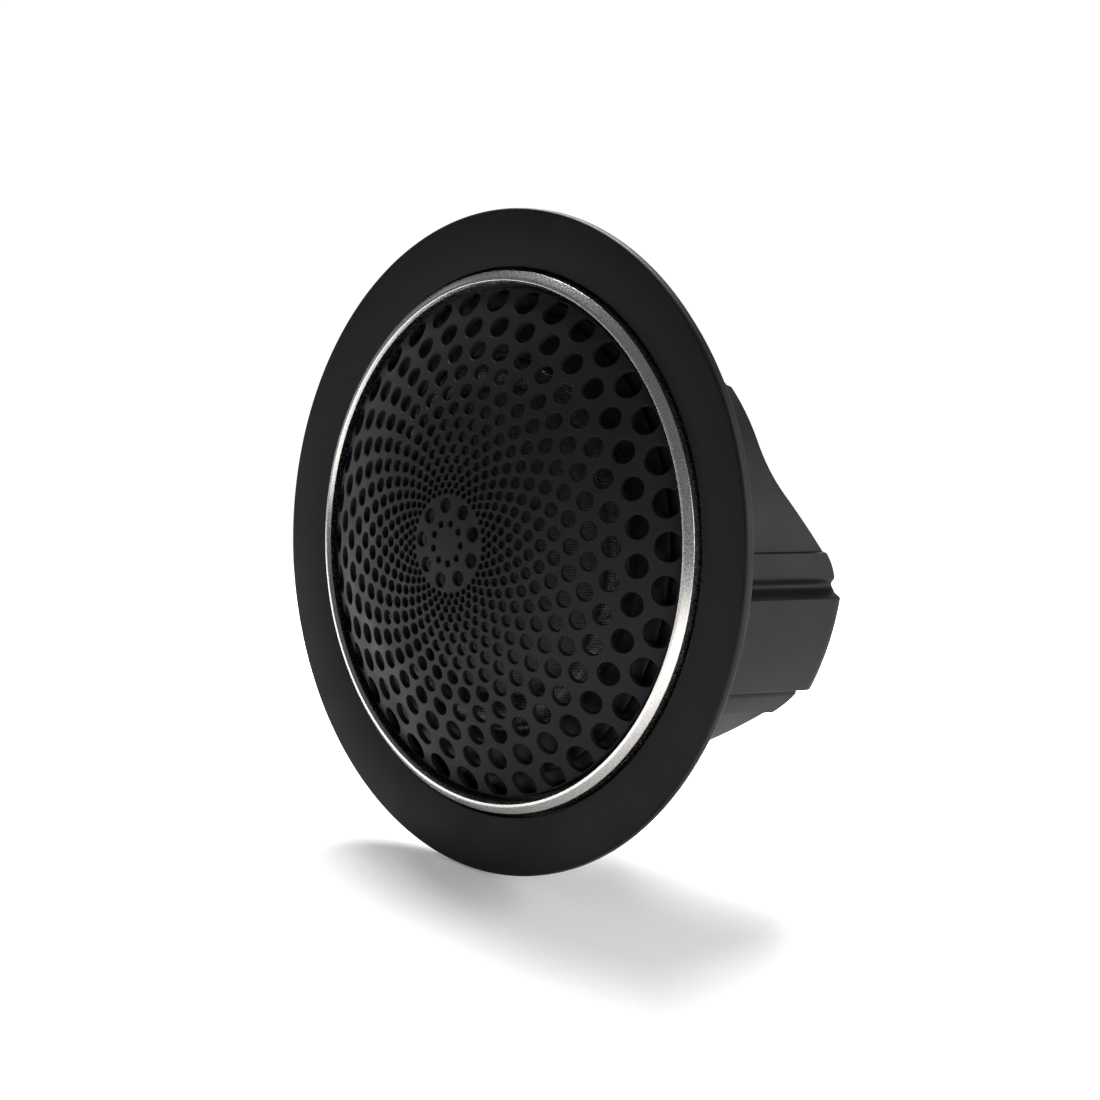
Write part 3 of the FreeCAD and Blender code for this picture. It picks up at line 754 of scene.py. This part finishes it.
def add_sheet(points, normals, faces):
    """The perforated sheet: its front, its back and the wall of every hole."""
    holes = grille_holes()
    edge = [outward_at(GRILLE_EDGE, 360 * index / RIM_POINTS) for index in range(RIM_POINTS)]
    lips = [[way for way, _ in hole_ring(*hole, HOLE_LIP)] for hole in holes]
    walls = [hole_ring(*hole) for hole in holes]
    openings = [[way for way, _ in wall] for wall in walls]
    add_sheet_face(points, normals, faces, [edge] + lips, 0.0, 1)
    add_sheet_face(points, normals, faces, [edge] + openings, GRILLE_SHEET, -1)
    for lip, wall in zip(lips, walls):
        front = [(on_grille(way), way) for way in lip]
        top = [(on_grille(way, HOLE_LIP), inward) for way, inward in wall]
        bottom = [(on_grille(way, GRILLE_SHEET), inward) for way, inward in wall]
        add_band(points, normals, faces, front, top)
        add_band(points, normals, faces, top, bottom)


def add_skirt(points, normals, faces):
    """The rolled rim round the sheet and the skirt below it, outside and inside."""
    level = on_grille(outward_at(GRILLE_EDGE, 0)).y
    slope = 90 - math.degrees(math.asin(GRILLE_EDGE / GRILLE_SPHERE))
    rings = [
        circle_of(GRILLE_EDGE, level, slope),
        circle_of(SKIRT_RADIUS - SHOULDER_INSET, level + SHOULDER_DROP, slope / 2),
        circle_of(SKIRT_RADIUS, level + SKIRT_DROP, 0),
        circle_of(SKIRT_RADIUS, LIP_TOP, 0),
    ]
    for first, second in zip(rings, rings[1:]):
        add_band(points, normals, faces, first, second)
    inside = SKIRT_RADIUS - GRILLE_SHEET
    inner_rings = [
        [(point, -normal) for point, normal in circle_of(inside, height, 0)]
        for height in (level + SKIRT_INNER_DROP, LIP_TOP)
    ]
    add_band(points, normals, faces, *inner_rings)


def make_grille():
    """Perforated spherical sheet with a rolled rim and a skirt."""
    points, normals, faces = [], [], []
    add_sheet(points, normals, faces)
    add_skirt(points, normals, faces)
    grille = make_piece(
        "grille_perforated", points, faces, "insert", ["grille"], GRILLE_COAT, smooth=False
    )
    grille.data.shade_smooth()
    grille.data.normals_split_custom_set_from_vertices([tuple(normal) for normal in normals])


SHELL_INNER = 17.3
SHELL_OUTER = 18.8
LIP_RADIUS = 23.6
LIP_BACK = -0.7
LIP_ROUND = 0.08


def make_body_shell():
    """Lip and tube of the insert; the lip's rim shows in the slit round the bezel."""
    lathe(
        "body_shell_tube",
        rounded([
            (SHELL_INNER, LIP_TOP),
            (LIP_RADIUS, LIP_TOP, LIP_ROUND),
            (LIP_RADIUS, LIP_BACK, LIP_ROUND),
            (SHELL_OUTER, LIP_BACK),
            (SHELL_OUTER, SHELL_BACK),
            (SHELL_INNER, SHELL_BACK),
        ]),
        "insert", ["body_shell"], SHELL_PLASTIC,
    )


FRAME_INNER = 15.6
FRAME_TUBE = 17.2
FRAME_OUTER = 20.0
FRAME_TOP = -1.55
FRAME_BACK = 0.4


def make_diaphragm_frame():
    lathe(
        "diaphragm_frame_ring",
        [
            (FRAME_INNER, FRAME_TOP),
            (FRAME_OUTER, FRAME_TOP),
            (FRAME_OUTER, LIP_TOP),
            (FRAME_TUBE, LIP_TOP),
            (FRAME_TUBE, FRAME_BACK),
            (FRAME_INNER, FRAME_BACK),
        ],
        "insert", ["diaphragm_frame"], SHELL_PLASTIC,
    )


PLATE_INNER = 16.4
PLATE_CREST = 17.3
PLATE_SEAT = 17.45
PLATE_OUTER = 20.4
PLATE_OVER_SURROUND = -1.75
PLATE_FALL_OUTWARD = 0.5
PLATE_FALL_INWARD = 0.15


def make_face_plate():
    """Ring over the surround's edge that falls away outward from its crest."""
    lathe(
        "face_plate_ring",
        rounded([
            (PLATE_INNER, PLATE_OVER_SURROUND),
            (PLATE_SEAT, PLATE_OVER_SURROUND),
            (PLATE_SEAT, FRAME_TOP),
            (PLATE_OUTER, FRAME_TOP),
            (PLATE_OUTER, PLATE_TOP + PLATE_FALL_OUTWARD, 0.1),
            (PLATE_CREST, PLATE_TOP, 0.25),
            (PLATE_INNER, PLATE_TOP + PLATE_FALL_INWARD, 0.2),
        ]),
        "insert", ["face_plate"], PLATE_PLASTIC,
    )


# Diaphragm

DOME_RADIUS = 13.35
DOME_SPHERE = 24.8
DOME_SKIN = 0.25
DOME_FOOT = 0.3
DOME_FOOT_RISE = 0.1
DOME_TIP = 0.02


def make_dome():
    """Shallow cap; the hole at its tip is too small to see."""
    foot = dome_high.y - DOME_SKIN + DOME_FOOT_RISE
    half = math.degrees(math.asin(DOME_RADIUS / DOME_SPHERE))
    centre = (0, dome_low.y + DOME_SPHERE)
    front = arc(centre, DOME_SPHERE, -90 + DOME_TIP, -90 + half, 40)
    back = arc(centre, DOME_SPHERE - DOME_SKIN, -90 + half, -90 + DOME_TIP, 20)
    outline = front + [(DOME_RADIUS, foot), (DOME_RADIUS - DOME_FOOT, foot)] + back
    lathe("dome_cap", outline, "diaphragm", ["dome"], DOME_TEXTILE, segments=180)


ROLL_MIDDLE = 14.75
ROLL_OUTSIDE = 1.33
ROLL_INSIDE = 1.15
SURROUND_THICKNESS = 0.18
SURROUND_EDGE = 17.35
SURROUND_LEVEL = SURROUND_BACK - 0.35


def make_surround():
    """Half roll between dome and frame."""
    middle = (ROLL_MIDDLE, SURROUND_LEVEL)
    front = arc(middle, ROLL_OUTSIDE, -180, 0, 28)
    back = arc(middle, ROLL_INSIDE, 0, -180, 20)
    edge = [(SURROUND_EDGE, SURROUND_LEVEL), (SURROUND_EDGE, SURROUND_LEVEL + SURROUND_THICKNESS)]
    lathe(
        "surround_roll", front + edge + back,
        "insert", ["surround"], SURROUND_TEXTILE, segments=240,
    )


# Rear of the insert

COVER_FOOT = cover_low.y + 0.35
COVER_STEP = 11.7
COVER_INNER_STEP = 11.4
COVER_FLAT = 16.0
COVER_INNER_FLAT = 15.4
COVER_CEILING = cover_high.y - 1.2
BOSS_HOLE = 1.7
BOSS_RADIUS = 3.4


def make_rear_cover():
    """Stepped cap with a hollow boss for the screw."""
    lathe(
        "rear_cover_cap",
        rounded([
            (SHELL_INNER, COVER_FOOT),
            (SHELL_OUTER, COVER_FOOT),
            (SHELL_OUTER, COVER_STEP, 0.2),
            (COVER_FLAT, cover_high.y, 0.45),
            (BOSS_HOLE, cover_high.y, CORNER),
            (BOSS_HOLE, cover_low.y),
            (BOSS_RADIUS, cover_low.y),
            (BOSS_RADIUS, COVER_CEILING),
            (COVER_INNER_FLAT, COVER_CEILING),
            (SHELL_INNER, COVER_INNER_STEP),
        ]),
        "insert", ["rear_cover"], SHELL_PLASTIC,
    )


def dress(node, material):
    """Gives a CAD node its procedural material."""
    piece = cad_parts[node]
    piece.data.materials.clear()
    piece.data.materials.append(material)


HIDDEN_PIECES = (
    ("coil_former", FORMER_FOIL, "former_foil"),
    ("voice_coil", COIL_COPPER, "coil_copper"),
    ("pole_plate", MOTOR_STEEL, "motor_steel"),
    ("yoke", MOTOR_STEEL, "motor_steel"),
    ("magnet", MAGNET_PLATING, "magnet_plating"),
    ("damping_felt", FELT, "felt"),
    ("chamber_foam", FOAM, "foam"),
    ("rear_screw", SCREW_STEEL, "screw_steel"),
    ("terminal_board", BOARD, "board_laminate"),
)
SIDES = (
    ("positive", RED_INSULATION, "wire_red"),
    ("negative", BLACK_INSULATION, "wire_black"),
)


def dress_hidden_pieces():
    for side, insulation, slot in SIDES:
        dress(f"terminal_{side}", TIN)
        dress(f"terminal_wire_{side}", insulation)
        dress(f"tinsel_lead_{side}", TINSEL)
    for node, material, slot in HIDDEN_PIECES:
        dress(node, material)


make_mounting_cup()
make_flange_gasket()
make_bezel_ring()
make_grille()
make_body_shell()
make_diaphragm_frame()
make_face_plate()
make_dome()
make_surround()
make_rear_cover()
dress_hidden_pieces()


# Camera

AZIMUTH = math.radians(46.65)
ELEVATION = math.radians(0.94)
DISTANCE = 11.98 * FLANGE_RADIUS * MM
SLIDE_RIGHT = 0.134 * FLANGE_RADIUS * MM
SLIDE_UP = -0.023 * FLANGE_RADIUS * MM
SENSOR = 36.0
FOCAL_SHARE = 4000 / 1100


def add_camera():
    """Long lens, level with the tweeter and 47 degrees off its axis."""
    back = Vector((
        math.sin(AZIMUTH) * math.cos(ELEVATION),
        -math.cos(AZIMUTH) * math.cos(ELEVATION),
        math.sin(ELEVATION),
    ))
    right = Vector((math.cos(AZIMUTH), math.sin(AZIMUTH), 0))
    up = back.cross(right)
    data = bpy.data.cameras.new("camera")
    data.sensor_width = SENSOR
    data.lens = SENSOR * FOCAL_SHARE
    data.clip_start = 0.01
    data.clip_end = 10
    camera = bpy.data.objects.new("camera", data)
    bpy.context.collection.objects.link(camera)
    centre = Vector((0, FLANGE_FRONT * MM, 0))
    camera.location = centre + back * DISTANCE + right * SLIDE_RIGHT + up * SLIDE_UP
    camera.rotation_mode = "QUATERNION"
    camera.rotation_quaternion = (-back).to_track_quat("-Z", "Y")
    bpy.context.scene.camera = camera


# Stage: floor, world and lights

FLOOR_LEVEL = -FLANGE_RADIUS * MM
FLOOR_REACH = 0.6
FLOOR_STEP = 0.01
FLOOR_SLOPE = math.tan(math.radians(14))
FLOOR_CLEARANCE = 0.0014
FLOOR_CREST = 0.045
# Painted light in the floor: how strongly it glows near the tweeter and far from it, and where the glow
# rises.
FLOOR_GLOW_NEAR = 0.2
FLOOR_GLOW_FAR = 1.0
GLOW_STARTS = 0.03
GLOW_ENDS = 0.25
FIBRE = 0.002


def floor_height(x, y):
    """Falls towards the camera, just clear of the flange's rim, and is level far behind it."""
    nearer = x * math.sin(AZIMUTH) - y * math.cos(AZIMUTH) + FLOOR_CLEARANCE
    return FLOOR_LEVEL - FLOOR_SLOPE * max(nearer, -FLOOR_CREST)


def make_floor_paper():
    """White paper with painted light: it glows, dimly near the tweeter and more with distance, so that it
    melts into the background; the dim glow near it lifts the shadows there.
    """
    material, tree, shader = new_material("floor_paper")
    fibre = noise(tree, place(tree), FIBRE, 4)
    blend_colors(tree, fibre, (0.86, 0.86, 0.86), (0.9, 0.9, 0.9), shader)
    shader.inputs["Roughness"].default_value = 0.8
    shader.inputs["Specular IOR Level"].default_value = 0.1
    shader.inputs["Emission Color"].default_value = (1, 1, 1, 1)
    length = tree.nodes.new("ShaderNodeVectorMath")
    length.operation = "LENGTH"
    tree.links.new(place(tree), length.inputs[0])
    strength = shader.inputs["Emission Strength"]
    distance = length.outputs["Value"]
    # Painted light: the emission rises from FLOOR_GLOW_NEAR near the tweeter to FLOOR_GLOW_FAR far off.
    spread(tree, distance, FLOOR_GLOW_NEAR, FLOOR_GLOW_FAR, strength, GLOW_STARTS, GLOW_ENDS)
    return material


def add_floor():
    mesh = bpy.data.meshes.new("floor")
    count = int(2 * FLOOR_REACH / FLOOR_STEP) + 1
    ticks = [FLOOR_STEP * index - FLOOR_REACH for index in range(count)]
    points = [(x, y, floor_height(x, y)) for x in ticks for y in ticks]
    quads = [
        (i * count + j, (i + 1) * count + j, (i + 1) * count + j + 1, i * count + j + 1)
        for i in range(count - 1)
        for j in range(count - 1)
    ]
    mesh.from_pydata(points, [], quads)
    mesh.shade_smooth()
    floor = bpy.data.objects.new("floor", mesh)
    bpy.context.collection.objects.link(floor)
    mesh.materials.append(make_floor_paper())


def add_light(name, azimuth, elevation, distance, size, power):
    """Square softbox that faces the tweeter; azimuth 0 is in front of its grille."""
    a = math.radians(azimuth)
    e = math.radians(elevation)
    toward = Vector((math.sin(a) * math.cos(e), -math.cos(a) * math.cos(e), math.sin(e)))
    data = bpy.data.lights.new(name, "AREA")
    data.size = size
    data.energy = power
    light = bpy.data.objects.new(name, data)
    bpy.context.collection.objects.link(light)
    light.location = toward * distance
    light.rotation_mode = "QUATERNION"
    light.rotation_quaternion = (-toward).to_track_quat("-Z", "Y")


BACKGROUND_STRENGTH = 1.05
ROOM_TINT = (0.9, 0.92, 1, 1)
ROOM_STRENGTH = 0.15


def add_world():
    """White behind everything, and a dim grey room for the reflections."""
    world = bpy.data.worlds.new("studio")
    bpy.context.scene.world = world
    world.use_nodes = True
    nodes = world.node_tree.nodes
    links = world.node_tree.links
    nodes.clear()
    output = nodes.new("ShaderNodeOutputWorld")
    mix = nodes.new("ShaderNodeMixShader")
    seen = nodes.new("ShaderNodeBackground")
    room = nodes.new("ShaderNodeBackground")
    path = nodes.new("ShaderNodeLightPath")
    seen.inputs["Color"].default_value = (1, 1, 1, 1)
    seen.inputs["Strength"].default_value = BACKGROUND_STRENGTH
    room.inputs["Color"].default_value = ROOM_TINT
    room.inputs["Strength"].default_value = ROOM_STRENGTH
    links.new(path.outputs["Is Camera Ray"], mix.inputs["Fac"])
    links.new(room.outputs["Background"], mix.inputs[1])
    links.new(seen.outputs["Background"], mix.inputs[2])
    links.new(mix.outputs["Shader"], output.inputs["Surface"])


add_camera()
add_floor()
add_world()
add_light("top_box", -130, 62, 0.5, 0.3, 7)
add_light("right_box", 125, 14, 0.4, 0.3, 1.4)
add_light("left_box", -105, 15, 0.4, 0.3, 0.22)
add_light("edge_strip", 78, 4, 0.4, 0.14, 0.4)
bpy.context.scene.view_settings.view_transform = "Standard"
